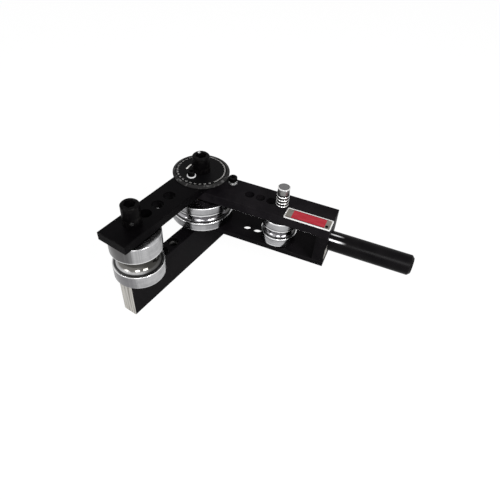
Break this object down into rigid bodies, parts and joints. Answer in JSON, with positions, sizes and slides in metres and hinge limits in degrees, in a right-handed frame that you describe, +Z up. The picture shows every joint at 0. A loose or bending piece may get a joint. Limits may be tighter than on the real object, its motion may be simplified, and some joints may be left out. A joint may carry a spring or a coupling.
{
  "type": "ring roller",
  "caption": "Vice-held ring roller: a forked lever arm with a round handle swings about a pivot against a fixed arm, bending bar or tube between grooved rollers.",
  "frame": {"origin": "on the pivot axis, at the underside of the vice bar", "axes": "+Z up the pivot, +X out along the fixed arm, +Y towards the side the lever arm points to at rest, 101.5 degrees round from +X"},
  "size_m": [0.1862, 0.2644, 0.1331],
  "materials": {
    "black_paint": "gloss",
    "handle_black": "gloss",
    "black_oxide": "satin",
    "bright_steel": "polished",
    "roller_steel": "satin",
    "bronze": "satin",
    "dial_black": "satin",
    "label_red": "satin"
  },
  "bodies": {
    "fixed_frame": {"vice_bar": "black_paint", "fixed_top_plate": "black_paint", "pivot_bolt": "black_oxide", "pivot_collar": "black_oxide", "pivot_spacer_tube": "bright_steel", "lever_support_washer": "bright_steel", "lever_top_washer": "bright_steel", "outer_axle_bolt": "black_oxide", "outer_axle_collar": "black_oxide", "collar_set_screw": "bright_steel", "outer_spacer_tube": "bright_steel", "outer_washer_lower": "bright_steel", "outer_washer_upper": "bright_steel"},
    "lever_arm": {"lever_top_plate": "black_paint", "lever_bottom_plate": "black_paint", "lever_end_block": "black_paint", "handle_bar": "handle_black", "lever_top_bush": "bronze", "lever_bottom_bush": "bronze", "pivot_washer_lower": "bronze", "pivot_washer_upper": "bronze", "lever_washer_lower": "bronze", "lever_washer_upper": "bronze", "label_plate": "label_red", "label_rivet": "bright_steel", "stop_screw": "black_oxide", "stop_screw_washer": "bright_steel"},
    "pivot_roller_set": {"pivot_roller": "roller_steel", "pivot_roller_bush": "bronze"},
    "outer_roller_set": {"outer_roller": "roller_steel", "outer_roller_bush": "bronze"},
    "lever_roller_set": {"lever_roller": "roller_steel", "lever_roller_bush": "bronze"},
    "pin_set": {"quick_pin": "bright_steel"},
    "dial_set": {"dial": "dial_black", "dial_lock_screw": "black_oxide", "dial_screw_washer": "bright_steel"}
  },
  "joints": [
    {"name": "lever_swing", "type": "hinge", "parent": "fixed_frame", "child": "lever_arm", "pos_m": [0, 0, 0.0741], "axis": [0, 0, 1], "range_deg": [-40, 80]},
    {"name": "pivot_roller_turn", "type": "hinge", "parent": "fixed_frame", "child": "pivot_roller_set", "pos_m": [0, 0, 0.0716], "axis": [0, 0, 1], "continuous": true},
    {"name": "outer_roller_turn", "type": "hinge", "parent": "fixed_frame", "child": "outer_roller_set", "pos_m": [0.102, 0, 0.0716], "axis": [0, 0, 1], "continuous": true},
    {"name": "lever_roller_turn", "type": "hinge", "parent": "lever_arm", "child": "lever_roller_set", "pos_m": [-0.01834, 0.09015, 0.0716], "axis": [0, 0, 1], "continuous": true},
    {"name": "quick_pin_pull", "type": "slide", "parent": "lever_arm", "child": "pin_set", "axis": [0, 0, 1], "range_m": [0, 0.05]},
    {"name": "dial_turn", "type": "hinge", "parent": "fixed_frame", "child": "dial_set", "pos_m": [0, 0, 0.1113], "axis": [0, 0, 1], "continuous": true}
  ]
}
